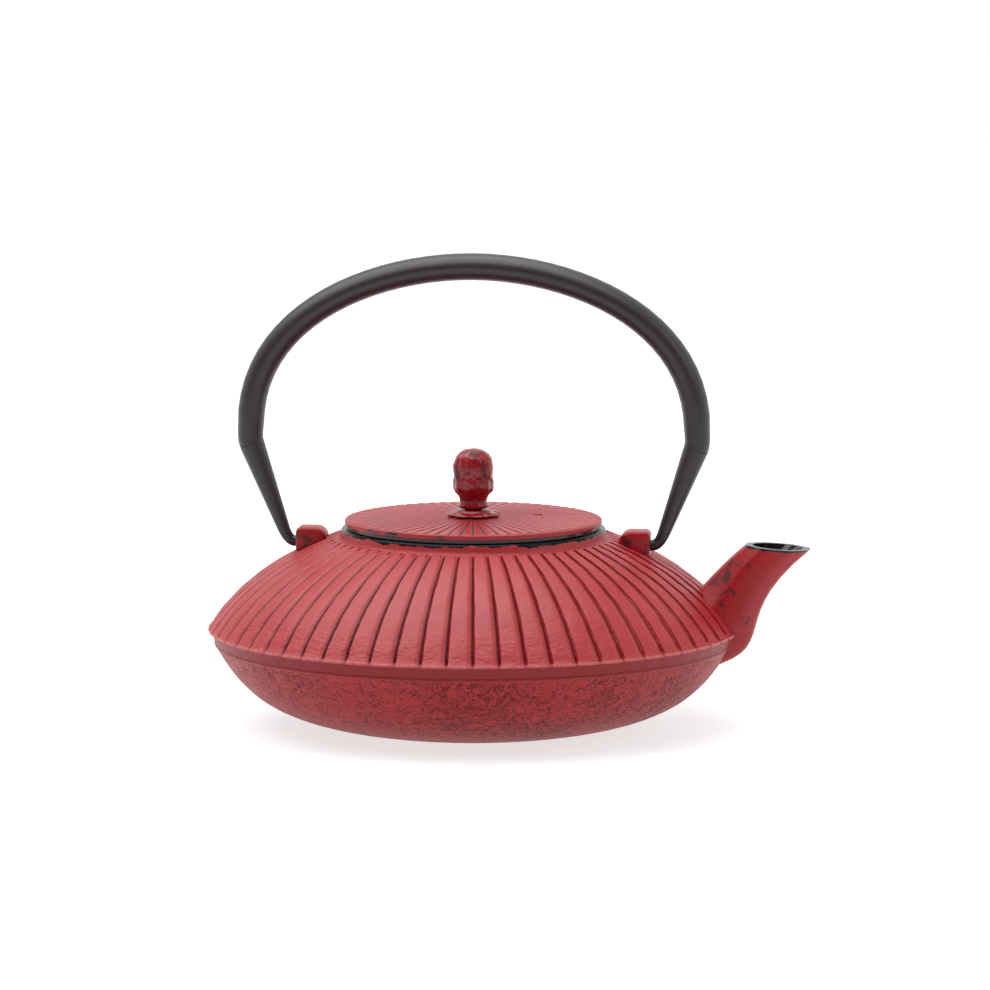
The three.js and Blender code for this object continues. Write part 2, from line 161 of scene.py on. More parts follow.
def apply(piece, kind, **settings):
    """Adds a modifier with its settings and applies it."""
    bpy.ops.object.select_all(action="DESELECT")
    piece.select_set(True)
    bpy.context.view_layer.objects.active = piece
    modifier = piece.modifiers.new(kind, kind)
    for setting, value in settings.items():
        setattr(modifier, setting, value)
    bpy.ops.object.modifier_apply(modifier=modifier.name)


def combine(piece, other, operation):
    """Joins another solid to the piece, or cuts it away, and removes it."""
    apply(piece, "BOOLEAN", operation=operation, object=other, solver="MANIFOLD",
          material_mode="TRANSFER")
    bpy.data.objects.remove(other)


bowl_line = line((37, 0), (63.1, 3.63), (72.19, 10.75), (80.5, BOWL_TOP), steps=15)
shoulder_line = line((82.4, EDGE_HIGH), (74.28, 43.67), (60.73, 53.34), (43, 59.6), steps=30)
# The outside, from underneath up: a shallow recess inside the foot, the bowl, a narrow band, the edge,
# the shoulder, then a gutter round the collar and the rounded rim of the collar.
outside = [
    (20, 0.8), (31.5, 0.8), (31.9, 0.65), (32.1, 0.2), (32.4, 0.02), (36.6, 0.02),
    *bowl_line[:-1], (80.45, 25.7), (80.8, 26.0), (80.85, 26.4), (80.75, 26.7),
    (81.5, 29.3), (81.7, 29.75), (82.3, 29.9), (82.7, 30.1), (82.8, 30.45), (82.7, 30.8),
    *shoulder_line[:-2],
    (44.6, 59.1), (44.1, 59.25), (43.7, 59.2), (43.4, 58.95), (43.1, 58.65), (42.5, 58.75),
    (41.9, 59.3), (41.55, 60.1), (41.35, 61.1), (41.15, 61.7), (40.8, 62),
]
across = (-1, -0.75, -0.56, -0.44, -0.3, -0.13, 0, 0.08, 0.15, 0.3, 0.65, 1)
pot = strip("ribbed_pot", across, outside)
# A groove falls gently on one side of its crease and steeply on the other. It gets shallower over the
# edge and stops at the band. At the collar it ends in a dip, which rounds the ends of the ribs.
groove = ((-0.56, -0.06), (-0.44, 0.08), (-0.3, 0.24), (-0.13, 0.45), (0, 1.05), (0.08, 0.65),
          (0.15, 0.1))
for column, depth in groove:
    for low, high, share in ((32.2, 59.3, 1), (EDGE_HIGH, 32.2, 0.7), (EDGE_LOW, EDGE_HIGH, 0.3)):
        pick(pot, lambda p: abs(p.y / p.x / HALF_RIB - column) < 0.01 and low < p.z <= high
             and p.x > 43.9)
        bpy.ops.transform.shrink_fatten(value=-depth * share * MM)
for column in (-0.44, -0.3, -0.13, 0, 0.08, 0.15):
    pick(pot, lambda p: abs(p.y / p.x / HALF_RIB - column) < 0.01 and 43.5 < p.x < 44.8
         and p.z > 58)
    bpy.ops.transform.shrink_fatten(value=-0.3 * MM)
spun_round()
bpy.ops.mesh.fill_holes(sides=0)
close_up(pot)

# No rib is quite like the next: the sand mould leaves each uneven, by up to a quarter of a millimetre
# every 5 mm or so.
uneven_part = pot.vertex_groups.new(name="ribbed")
uneven_part.add([v.index for v in pot.data.vertices if 31.2 < v.co.z / MM < 58.3], 1, "REPLACE")
uneven = bpy.data.textures.new("uneven_sand", "CLOUDS")
uneven.cloud_type, uneven.noise_scale, uneven.noise_depth = "COLOR", 5 * MM, 1
apply(pot, "DISPLACE", texture=uneven, texture_coords="LOCAL", direction="RGB_TO_XYZ",
      strength=0.5 * MM, vertex_group="ribbed")
pot.vertex_groups.clear()
red_paint = bpy.data.materials.new("red_paint_on_ribbed_cast_iron")
smooth_paint = bpy.data.materials.new("red_paint_on_smooth_cast_iron")
black_enamel = bpy.data.materials.new("black_vitreous_enamel")
pot.data.materials.append(red_paint)

# The spout is an octagon with rounded corners, pulled along between its back line and its front line,
# wide at its root and slim at its lip.
SPOUT_STEPS = 15
spout_back = line((70.0, 43.0), (75.2, 49.1), (80.2, 54.0), (85.1, 58.0), steps=SPOUT_STEPS)
spout_front = line((73.28, 18.8), (98.2, 25.9), (78.0, 34.0), (105.4, 56.6), steps=SPOUT_STEPS)


def spout_stations(wall, reach_in):
    """The spout's middle, direction and half sizes at each step, thinned all round by a wall."""
    stations = []
    for i, (back, front) in enumerate(zip(spout_back, spout_front)):
        half = (Vector(front) - Vector(back)) / 2
        middle = (Vector(front) + Vector(back)) / 2
        if i == 0:
            middle.x -= reach_in
        half_width = 11 - 2.8 * math.sin(i / (SPOUT_STEPS - 1) * math.pi / 2)
        stations.append((*middle, (-half.y, half.x), half.length - wall, half_width - wall))
    return stations


spout = start("spout", bpy.ops.mesh.primitive_circle_add, vertices=8, radius=1.06,
              rotation=(0, 0, math.pi / 8))
bpy.ops.mesh.bevel(offset=0.16, segments=3, affect="VERTICES")
pulled(spout, spout_stations(0, 0))
close_up(spout)
spout.data.materials.append(smooth_paint)
combine(pot, spout, "UNION")

# A lug is a block that stands beside the collar. Its top is well rounded towards the lid and less so
# towards the handle.
LUG_MIDDLE, LUG_TOP = 50.6, 61.82
LUG_LONG, LUG_WIDE, LUG_TALL = 9.6, 9, 7.8
for side in (1, -1):
    lug = start("lug", bpy.ops.mesh.primitive_cube_add, size=MM,
                scale=(LUG_LONG, LUG_WIDE, LUG_TALL),
                location=(side * LUG_MIDDLE * MM, 0, (LUG_TOP - LUG_TALL / 2) * MM))
    pick(lug, lambda p: p.z > 60 and p.x * side < LUG_MIDDLE)
    bpy.ops.mesh.bevel(offset=3.4 * MM, segments=6, affect="EDGES")
    pick(lug, lambda p: p.z > 60 and p.x * side > 54)
    bpy.ops.mesh.bevel(offset=1.7 * MM, segments=5, affect="EDGES")
    for face in (LUG_WIDE / 2, -LUG_WIDE / 2):
        pick(lug, lambda p: abs(p.y - face) < 0.01)
        bpy.ops.mesh.bevel(offset=1.0 * MM, segments=3, affect="EDGES")
    close_up(lug)
    lug.data.materials.append(smooth_paint)
    combine(pot, lug, "UNION")

# The inside: bowl, throat and the ledge that the infuser hangs on, all in black enamel. It has two sides
# for each rib.
hollow = turned("hollow", [
    (0.02, 3), (37, 3), *moved_in(bowl_line, WALL)[2:-1], *moved_in(shoulder_line, WALL)[1:-1],
    (35.5, 56.65), (35.5, 60.4), (38.2, 60.4), (38.2, 63), (0.02, 63)], RIBS * 2)
close_up(hollow)
hollow.data.materials.append(black_enamel)
combine(pot, hollow, "DIFFERENCE")

# The channel through the spout opens out a little at the lip, where the enamel turns over it.
channel = start("channel", bpy.ops.mesh.primitive_circle_add, vertices=24, radius=1)
*way_out, (x, z, facing, thick, wide) = spout_stations(2.4, WALL)
out_of_lip = Vector(facing).normalized() * 2
flared = (facing, thick + 0.3, wide + 0.8)
pulled(channel, [*way_out, (x, z, *flared), (x + out_of_lip.x, z + out_of_lip.y, *flared)])
close_up(channel)
channel.data.materials.append(black_enamel)
combine(pot, channel, "DIFFERENCE")

# A blind hole in each lug takes a pin of the handle.
for side in (1, -1):
    pin_hole = start("pin_hole", bpy.ops.mesh.primitive_cylinder_add, vertices=24,
                     radius=2 * MM, depth=8 * MM, rotation=(0, math.pi / 2, 0),
                     location=(side * 53.5 * MM, 0, 57.119 * MM))
    close_up(pin_hole)
    combine(pot, pin_hole, "DIFFERENCE")


def linear(shade):
    """An sRGB hex colour as the linear colour that a shader takes."""
    parts = [int(shade[i:i + 2], 16) / 255 for i in (0, 2, 4)]
    return (*[p / 12.92 if p <= 0.04045 else ((p + 0.055) / 1.055) ** 2.4 for p in parts], 1)


def finish_of(name):
    """An empty finish: the material and its shader."""
    finish = bpy.data.materials.get(name) or bpy.data.materials.new(name)
    finish.use_nodes = True
    return finish, finish.node_tree.nodes["Principled BSDF"]


def put(finish, kind, sockets=(), **settings):
    """Adds a node with its settings. A socket takes a value, or a link from another node's output."""
    node = finish.node_tree.nodes.new("ShaderNode" + kind) if isinstance(kind, str) else kind
    for setting, value in settings.items():
        setattr(node, setting, value)
    for socket, value in dict(sockets).items():
        if isinstance(value, bpy.types.NodeSocket):
            finish.node_tree.links.new(value, node.inputs[socket])
        else:
            node.inputs[socket].default_value = value
    return node


def places_on(finish):
    """A point's place on the object, with its height and its radius from the middle."""
    place = put(finish, "TexCoord").outputs["Object"]
    height = put(finish, "SeparateXYZ", {0: place}).outputs[2]
    flat = put(finish, "VectorMath", {0: place, 1: (1, 1, 0)}, operation="MULTIPLY")
    return place, height, put(finish, "VectorMath", {0: flat.outputs[0]},
                              operation="LENGTH").outputs["Value"]


def ribs_on(finish, place):
    """A point's angle round the pot, and how far it is from the nearest groove or ray, in ribs: from
    -0.5 to 0.5, with 0 in the crease."""
    axes = put(finish, "SeparateXYZ", {0: place})
    angle = put(finish, "Math", {0: axes.outputs[1], 1: axes.outputs[0]}, operation="ARCTAN2")
    turns = put(finish, "Math", {0: angle.outputs[0], 1: RIBS / math.tau}, operation="MULTIPLY")
    nearest = put(finish, "Math", {0: turns.outputs[0]}, operation="ROUND")
    offset = put(finish, "Math", {0: turns.outputs[0], 1: nearest.outputs[0]},
                 operation="SUBTRACT")
    return angle.outputs[0], offset.outputs[0]


# A noise scale is one over the size of its patches in metres, so 220 gives patches of 4.5 mm.

# Vitreous enamel, fused on in a kiln: glossy black, with the faint waves of poured glass, 4.5 mm long.
black_enamel, shader = finish_of("black_vitreous_enamel")
place = put(black_enamel, "TexCoord").outputs["Object"]
waves = put(black_enamel, "TexNoise", {"Vector": place, "Scale": 220, "Detail": 2})
relief = put(black_enamel, "Bump", {"Height": waves.outputs[0], "Strength": 0.25,
                                    "Distance": 0.3 * MM})
tone = put(black_enamel, "MixRGB", {0: waves.outputs[0], 1: linear("0c0b0d"), 2: linear("161417")})
put(black_enamel, shader, {"Base Color": tone.outputs[0], "Roughness": 0.16, "IOR": 1.52,
                           "Normal": relief.outputs[0]})

# Red paint over a dark wash on sand-cast iron: satin, with the wash showing in every groove and pit. The
# ramp runs across a groove: a painted highlight on its gentle side, the dark wash on its floor and
# painted shade in its steep crease. Its alpha says how much of the red it covers. A speckle of 1.4 mm
# makes its sides ragged.
red_paint, shader = finish_of("red_paint_on_ribbed_cast_iron")
place, height, radius = places_on(red_paint)
_, offset = ribs_on(red_paint, place)
speckle = put(red_paint, "TexNoise", {"Vector": place, "Scale": 700, "Detail": 3, "Roughness": 0.6})
ragged = put(red_paint, "Math", {0: speckle.outputs[0], 1: 0.06, 2: offset},
             operation="MULTIPLY_ADD")
across_groove = put(red_paint, "MapRange", {0: ragged.outputs[0], 1: -0.32, 2: 0.19})
wash_highlight_and_shade = put(red_paint, "ValToRGB", {0: across_groove.outputs[0]})
wash_highlight_and_shade.color_ramp.elements[0].position, wash_highlight_and_shade.color_ramp.elements[0].color = 0.02, (0, 0, 0, 0)
wash_highlight_and_shade.color_ramp.elements[1].position, wash_highlight_and_shade.color_ramp.elements[1].color = 0.98, (0, 0, 0, 0)
# Pale stops: painted highlight on a groove's gentle side. Darkest stops: painted shade in its crease.
for position, shade, cover in ((0.08, "c4605c", 0), (0.16, "c4605c", 0.2), (0.24, "a04844", 0.15),
                               (0.36, "863634", 0.4), (0.5, "7c2c2a", 0.6), (0.56, "641e1c", 0.8),
                               (0.61, "3c0e0c", 0.95), (0.7, "3c0e0c", 0.95), (0.78, "8a1c22", 0)):
    wash_highlight_and_shade.color_ramp.elements.new(position).color = (*linear(shade)[:3], cover)
on_shoulder = put(red_paint, "MapRange", {0: height, 1: 30.4 * MM, 2: 31.4 * MM})
below_collar = put(red_paint, "MapRange", {0: height, 1: 59.1 * MM, 2: 58.3 * MM})
inside_edge = put(red_paint, "MapRange", {0: radius, 1: 83.4 * MM, 2: 83.0 * MM})
ribbed = put(red_paint, "Math", {0: on_shoulder.outputs[0], 1: below_collar.outputs[0]},
             operation="MULTIPLY")
ribbed = put(red_paint, "Math", {0: ribbed.outputs[0], 1: inside_edge.outputs[0]},
             operation="MULTIPLY")
in_groove = put(red_paint, "Math", {0: wash_highlight_and_shade.outputs[1], 1: ribbed.outputs[0]}, operation="MULTIPLY")

# The bowl keeps the grain of the sand: worm-like grains of 1.6 mm, with the wash in the pits between
# them. There are more pits in some patches of 22 mm than in others.
on_bowl = put(red_paint, "MapRange", {0: height, 1: BOWL_TOP * MM, 2: 25.3 * MM})
sand = put(red_paint, "TexNoise", {"Vector": place, "Scale": 620, "Detail": 2.5, "Roughness": 0.6,
                                   "Distortion": 1.4})
patches = put(red_paint, "TexNoise", {"Vector": place, "Scale": 45, "Detail": 2})
pit_level = put(red_paint, "MapRange", {0: patches.outputs[0], 1: 0.35, 2: 0.65, 3: 0.48, 4: 0.56})
pit_edge = put(red_paint, "Math", {0: pit_level.outputs[0], 1: 0.1}, operation="SUBTRACT")
pits = put(red_paint, "MapRange", {0: sand.outputs[0], 1: pit_level.outputs[0],
                                   2: pit_edge.outputs[0]})
in_pit = put(red_paint, "Math", {0: pits.outputs[0], 1: on_bowl.outputs[0]}, operation="MULTIPLY")

# A pale line along the rounded edge of the shoulder: the paint rubbed thin in spots, and a painted
# highlight along the edge.
at_edge = put(red_paint, "MapRange", {0: radius, 1: 82.35 * MM, 2: 82.75 * MM})
edge_top = put(red_paint, "MapRange", {0: height, 1: 31.1 * MM, 2: 30.8 * MM})
edge_low = put(red_paint, "MapRange", {0: height, 1: 30.0 * MM, 2: 30.3 * MM})
rubbed = put(red_paint, "MapRange", {0: speckle.outputs[0], 1: 0.35, 2: 0.6, 3: 0.45, 4: 0.85})
worn_and_highlit_edge = edge_top
for limit in (edge_low, at_edge, inside_edge, rubbed):
    worn_and_highlit_edge = put(red_paint, "Math", {0: worn_and_highlit_edge.outputs[0], 1: limit.outputs[0]}, operation="MULTIPLY")

# The collar is dipped in black enamel, and the lower edge of the black wanders every 6 mm or so.
bleed = put(red_paint, "TexNoise", {"Vector": place, "Scale": 160, "Detail": 4, "Roughness": 0.65})
bleed_height = put(red_paint, "Math", {0: bleed.outputs[0], 1: 3.6 * MM, 2: height},
                   operation="MULTIPLY_ADD")
over_collar = put(red_paint, "MapRange", {0: bleed_height.outputs[0], 1: 62.95 * MM,
                                          2: 63.15 * MM})
near_collar = put(red_paint, "MapRange", {0: radius, 1: 42.4 * MM, 2: 42.1 * MM})
dipped = put(red_paint, "Math", {0: over_collar.outputs[0], 1: near_collar.outputs[0]},
             operation="MULTIPLY")

# The red itself is mottled in patches of 17 mm. The band between the bowl and the edge is darker:
# painted shade under the overhanging edge.
mottle = put(red_paint, "TexNoise", {"Vector": place, "Scale": 60, "Detail": 4, "Roughness": 0.6})
red = put(red_paint, "MixRGB", {0: mottle.outputs[0], 1: linear("900e16"), 2: linear("a2161e")})
# Painted shade: the band under the overhanging edge is painted a darker red.
under_edge = put(red_paint, "MapRange", {0: height, 1: 30.2 * MM, 2: 29.6 * MM})
band_in_painted_shade = put(red_paint, "Math", {0: under_edge.outputs[0], 1: on_bowl.outputs[0]},
           operation="SUBTRACT")
red = put(red_paint, "MixRGB", {0: band_in_painted_shade.outputs[0], 1: red.outputs[0], 2: linear("800c14")})
# Over the grooves go the wash, the painted highlight and the painted shade of the ramp.
red = put(red_paint, "MixRGB", {0: in_groove.outputs[0], 1: red.outputs[0], 2: wash_highlight_and_shade.outputs[0]})
red = put(red_paint, "MixRGB", {0: in_pit.outputs[0], 1: red.outputs[0], 2: linear("6a1a18")})
# The pale edge line: worn paint, with a painted highlight along the rounded edge.
red = put(red_paint, "MixRGB", {0: worn_and_highlit_edge.outputs[0], 1: red.outputs[0], 2: linear("bc6460")})
red = put(red_paint, "MixRGB", {0: dipped.outputs[0], 1: red.outputs[0], 2: linear("0f0d10")})

# Grooves, pits and the dipped collar reflect least, and below the edge the paint reflects less than on
# the shoulder.
wash_and_groove_shade = put(red_paint, "Math", {0: in_groove.outputs[0], 1: in_pit.outputs[0]}, operation="MAXIMUM")
dull = put(red_paint, "Math", {0: under_edge.outputs[0], 1: 0.5}, operation="MULTIPLY")
dull = put(red_paint, "Math", {0: dull.outputs[0], 1: wash_and_groove_shade.outputs[0]}, operation="MAXIMUM")
dull = put(red_paint, "Math", {0: dull.outputs[0], 1: dipped.outputs[0]}, operation="MAXIMUM")
shine = put(red_paint, "MapRange", {0: dull.outputs[0], 3: 0.5, 4: 0.12})
gloss = put(red_paint, "MapRange", {0: dipped.outputs[0], 3: 0.45, 4: 0.18})

# The grain of the sand is strong on the bowl and faint above it. Wrinkles of 1.8 mm by 1 mm lie over it
# and get deeper towards the edge of the shoulder.
grain = put(red_paint, "MapRange", {0: on_bowl.outputs[0], 3: 0.16, 4: 1})
fine = put(red_paint, "Bump", {"Height": sand.outputs[0], "Strength": grain.outputs[0],
                               "Distance": 0.6 * MM})
stretched = put(red_paint, "Mapping", {0: place, 3: (1, 1, 1.8)})
wrinkles = put(red_paint, "TexNoise", {"Vector": stretched.outputs[0], "Scale": 560, "Detail": 3})
low_down = put(red_paint, "MapRange", {0: height, 1: 48 * MM, 2: 34 * MM, 3: 0.3, 4: 0.9})
relief = put(red_paint, "Bump", {"Height": wrinkles.outputs[0], "Strength": low_down.outputs[0],
                                 "Distance": 0.3 * MM, "Normal": fine.outputs[0]})
put(red_paint, shader, {"Base Color": red.outputs[0], "Specular IOR Level": shine.outputs[0],
                        "Roughness": gloss.outputs[0], "IOR": 1.5, "Normal": relief.outputs[0]})

# On the spout and the lugs the same paint lies smoother, with a grit of 1.3 mm. The wash shows in smears
# of 4 mm, most of all at their feet, and the black enamel turns out over the lip of the spout.
smooth_paint, shader = finish_of("red_paint_on_smooth_cast_iron")
place, height, radius = places_on(smooth_paint)
mottle = put(smooth_paint, "TexNoise", {"Vector": place, "Scale": 60, "Detail": 4})
grit = put(smooth_paint, "TexNoise", {"Vector": place, "Scale": 750, "Detail": 3})
smear = put(smooth_paint, "TexNoise", {"Vector": place, "Scale": 240, "Detail": 5, "Roughness": 0.65,
                                       "Distortion": 0.5})
spout_foot = put(smooth_paint, "MapRange", {0: radius, 1: 94 * MM, 2: 80 * MM, 3: 0.06, 4: 0.22})
lug_foot = put(smooth_paint, "MapRange", {0: height, 1: 61.6 * MM, 2: 58 * MM, 3: 0.08, 4: 0.24})
up_there = put(smooth_paint, "MapRange", {0: radius, 1: 58 * MM, 2: 57 * MM})
lug_foot = put(smooth_paint, "Math", {0: lug_foot.outputs[0], 1: up_there.outputs[0]},
               operation="MULTIPLY")
on_spout = put(smooth_paint, "MapRange", {0: radius, 1: 64 * MM, 2: 66 * MM})
spout_foot = put(smooth_paint, "Math", {0: spout_foot.outputs[0], 1: on_spout.outputs[0]},
                 operation="MULTIPLY")
level = put(smooth_paint, "Math", {0: smear.outputs[0], 1: spout_foot.outputs[0]}, operation="ADD")
level = put(smooth_paint, "Math", {0: level.outputs[0], 1: lug_foot.outputs[0]}, operation="ADD")
smeared = put(smooth_paint, "MapRange", {0: level.outputs[0], 1: 0.73, 2: 0.81, 3: 0, 4: 0.85})
square_to_lip = (0.0618, 0, 0.998)
over_lip = put(smooth_paint, "VectorMath", {0: place, 1: square_to_lip},
               operation="DOT_PRODUCT").outputs["Value"]
over_lip = put(smooth_paint, "Math", {0: smear.outputs[0], 1: 1.2 * MM, 2: over_lip},
               operation="MULTIPLY_ADD")
lip = put(smooth_paint, "MapRange", {0: over_lip.outputs[0], 1: 62.95 * MM, 2: 63.1 * MM})
lip = put(smooth_paint, "Math", {0: lip.outputs[0], 1: on_spout.outputs[0]}, operation="MULTIPLY")
red = put(smooth_paint, "MixRGB", {0: mottle.outputs[0], 1: linear("8a0c14"), 2: linear("9a131b")})
red = put(smooth_paint, "MixRGB", {0: smeared.outputs[0], 1: red.outputs[0], 2: linear("381414")})
red = put(smooth_paint, "MixRGB", {0: lip.outputs[0], 1: red.outputs[0], 2: linear("0f0d10")})
gloss = put(smooth_paint, "MapRange", {0: lip.outputs[0], 3: 0.36, 4: 0.2})
relief = put(smooth_paint, "Bump", {"Height": grit.outputs[0], "Strength": 0.25,
                                    "Distance": 0.2 * MM})
put(smooth_paint, shader, {"Base Color": red.outputs[0], "Specular IOR Level": 0.3,
                           "Roughness": gloss.outputs[0], "IOR": 1.5,
                           "Normal": relief.outputs[0]})


def ready(piece, body, slot, finishes, *nodes, crease=32):
    """Gives a finished piece its materials and its smooth faces, and ties it to the model."""
    bpy.ops.object.select_all(action="DESELECT")
    piece.select_set(True)
    bpy.context.view_layer.objects.active = piece
    bpy.ops.object.shade_smooth_by_angle(angle=math.radians(crease))
    for i, finish in enumerate(finishes):
        if i < len(piece.data.materials):
            piece.data.materials[i] = finish
        else:
            piece.data.materials.append(finish)
    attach(piece, body)
    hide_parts(*nodes)


ready(pot, "pot", "red_cast_iron", list(pot.data.materials), "pot_body")

# ------------------------------------------------------------------ the infuser
# A basket of thin stainless steel: a pressed rim that hangs on the ledge, a perforated wall rolled
# from sheet, and a perforated base held in a ring.

# Brushed stainless steel: bright grey, with fine lines running round it, 3.3 mm long and 0.24 mm apart.
steel, shader = finish_of("brushed_stainless_steel")
place = put(steel, "TexCoord").outputs["Object"]
lengthwise = put(steel, "Mapping", {0: place, 3: (1, 1, 14)})
brushing = put(steel, "TexNoise", {"Vector": lengthwise.outputs[0], "Scale": 300, "Detail": 3})
tone = put(steel, "MixRGB", {0: brushing.outputs[0], 1: linear("b4b6b8"), 2: linear("d2d3d4")})
sheen = put(steel, "MapRange", {0: brushing.outputs[0], 3: 0.22, 4: 0.36})
relief = put(steel, "Bump", {"Height": brushing.outputs[0], "Strength": 0.12,
                             "Distance": 0.05 * MM})
put(steel, shader, {"Base Color": tone.outputs[0], "Metallic": 1, "Roughness": sheen.outputs[0],
                    "Normal": relief.outputs[0]})

infuser_rim = turned("rim_flange", [
    (34.7, 55.8), (34.95, 55.7), (35.2, 55.8), (35.2, 57.2), (35.0, 57.6), (35.2, 58.0), (35.2, 60.4),
    (35.3, 60.62), (35.6, 60.7), (37.6, 60.7), (37.85, 60.85), (37.85, 61.05), (37.6, 61.2),
    (35.3, 61.2), (34.9, 61.05), (34.7, 60.7), (34.7, 58.0), (34.5, 57.6), (34.7, 57.2),
    (34.7, 55.8)], 96)
close_up(infuser_rim)
ready(infuser_rim, "infuser", "stainless_steel", [steel], "infuser_rim")

# The wall is rolled from sheet: a ring of 92 cells, pulled up through 15 rows of holes.
infuser_wall = start("sieve_wall", bpy.ops.mesh.primitive_circle_add, vertices=92,
                     radius=34.15 * MM, location=(0, 0, 18.32 * MM))
for rise in (4.5, *[2.12] * 15, 6.05):
    bpy.ops.mesh.extrude_region_move(TRANSFORM_OT_translate={"value": (0, 0, rise * MM)})


def perforate(piece, inside):
    """Opens an eight-sided hole in the middle of each cell that passes the test."""
    bpy.ops.mesh.select_mode(type="FACE")
    bpy.ops.mesh.select_all(action="DESELECT")
    shape = bmesh.from_edit_mesh(piece.data)
    for face in shape.faces:
        face.select_set(inside(face.calc_center_median() / MM))
    bmesh.update_edit_mesh(piece.data)
    bpy.ops.mesh.inset(thickness=0.6 * MM, use_individual=True)
    bpy.ops.mesh.bevel(offset=0.33 * MM, affect="VERTICES")
    shape = bmesh.from_edit_mesh(piece.data)
    for face in shape.faces:
        face.select_set(len(face.verts) == 8)
    bmesh.update_edit_mesh(piece.data)
    bpy.ops.mesh.delete(type="FACE")
    bpy.ops.mesh.select_all(action="SELECT")
    bpy.ops.mesh.normals_make_consistent(inside=False)
    bpy.ops.object.mode_set(mode="OBJECT")


SHEET = 0.5
perforate(infuser_wall, lambda p: 22.7 < p.z < 54.7)
apply(infuser_wall, "SOLIDIFY", thickness=SHEET * MM, offset=0)
ready(infuser_wall, "infuser", "stainless_steel", [steel], "infuser_wall")

# The base is cut as a disc from a square of the same sheet.
infuser_base = start("sieve_base", bpy.ops.mesh.primitive_grid_add, x_subdivisions=33,
                     y_subdivisions=33, size=70 * MM, location=(0, 0, 17.75 * MM))
perforate(infuser_base, lambda p: math.hypot(p.x, p.y) < 29.5)
apply(infuser_base, "SOLIDIFY", thickness=SHEET * MM, offset=0)
disc = start("disc", bpy.ops.mesh.primitive_cylinder_add, vertices=96, radius=34.4 * MM,
             depth=4 * MM, location=(0, 0, 17.75 * MM))
close_up(disc)
combine(infuser_base, disc, "INTERSECT")
ready(infuser_base, "infuser", "stainless_steel", [steel], "infuser_base")

infuser_base_ring = turned("base_hoop", [
    (31.9, 16.75), (32.0, 16.7), (34.7, 16.7), (35.1, 16.85), (35.2, 17.2), (35.2, 20.5),
    (35.05, 20.7), (34.85, 20.7), (34.7, 20.5), (34.7, 17.45), (34.5, 17.2), (32.0, 17.2),
    (31.9, 17.15), (31.9, 16.75)], 96)
close_up(infuser_base_ring)
ready(infuser_base_ring, "infuser", "stainless_steel", [steel], "infuser_base_ring")

# ------------------------------------------------------------------ the lid
# One flat iron casting with 64 fine rays cut in its top. Underneath, a step seats it on the collar
# and a skirt keeps it in place. Its middle is drilled for the knob, and a vent lets the steam out.

# The top rises by 0.6 mm towards its middle, in rings 1.9 mm apart.
rays = (-1, -0.6, -0.34, -0.16, 0, 0.16, 0.34, 0.6, 1)
top = [(39.1 - 1.9 * i, 65.0 + 0.6 * (1 - ((39.1 - 1.9 * i) / 40) ** 2)) for i in range(17)]
lid = strip("rayed_lid", rays, [
    (2.3, 62.3), (7, 62.3), (30.7, 62.3), (30.7, 57.5), (30.9, 57.3), (32.9, 57.3), (33.1, 57.5),
    (33.1, 62.3), (39.2, 62.3), (39.2, 63.2), (39.7, 63.2), (40.0, 63.3), (40.1, 63.6),
    (40.1, 64.35), (40.0, 64.65), (39.75, 64.8), (39.35, 64.8), *top, (2.3, 65.6), (2.3, 62.3)])
for ray, depth in ((-0.34, 0.04), (-0.16, 0.3), (0, 0.34), (0.16, 0.3), (0.34, 0.04)):
    pick(lid, lambda p: abs(p.y / p.x / HALF_RIB - ray) < 0.01 and p.z > 64.9
         and 8.9 < p.x < 39.2)
    bpy.ops.transform.translate(value=(0, 0, -depth * MM))
spun_round()
close_up(lid)
lid_uneven = lid.vertex_groups.new(name="top")
lid_uneven.add([v.index for v in lid.data.vertices
                if v.co.z / MM > 64.6 and 9.5 < v.co.xy.length / MM < 38.8], 1, "REPLACE")
apply(lid, "DISPLACE", texture=uneven, texture_coords="LOCAL", direction="RGB_TO_XYZ",
      strength=0.22 * MM, vertex_group="top")
lid.vertex_groups.clear()

vent_angle, vent_radius = math.radians(19), 20.6
vent = start("vent", bpy.ops.mesh.primitive_cylinder_add, vertices=32, radius=1.5 * MM,
             depth=8 * MM, location=(vent_radius * MM * math.cos(vent_angle),
                                     vent_radius * MM * math.sin(vent_angle), 64 * MM))
close_up(vent)
vent.data.materials.append(black_enamel)
combine(lid, vent, "DIFFERENCE")

# Red paint brushed over the dark wash. The wash shows in the rays, deepened with painted shade towards
# the front and the back, and in smears of 18 mm. The underside is black, and black chips show round the
# side.
lid_paint, shader = finish_of("red_paint_on_rayed_cast_iron")
place, height, radius = places_on(lid_paint)
angle, offset = ribs_on(lid_paint, place)
away = put(lid_paint, "Math", {0: offset}, operation="ABSOLUTE")
in_ray = put(lid_paint, "MapRange", {0: away.outputs[0], 1: 0.15, 2: 0.07})
on_top = put(lid_paint, "MapRange", {0: height, 1: 64.6 * MM, 2: 64.75 * MM})
rayed = put(lid_paint, "MapRange", {0: radius, 1: 39.5 * MM, 2: 39.1 * MM})
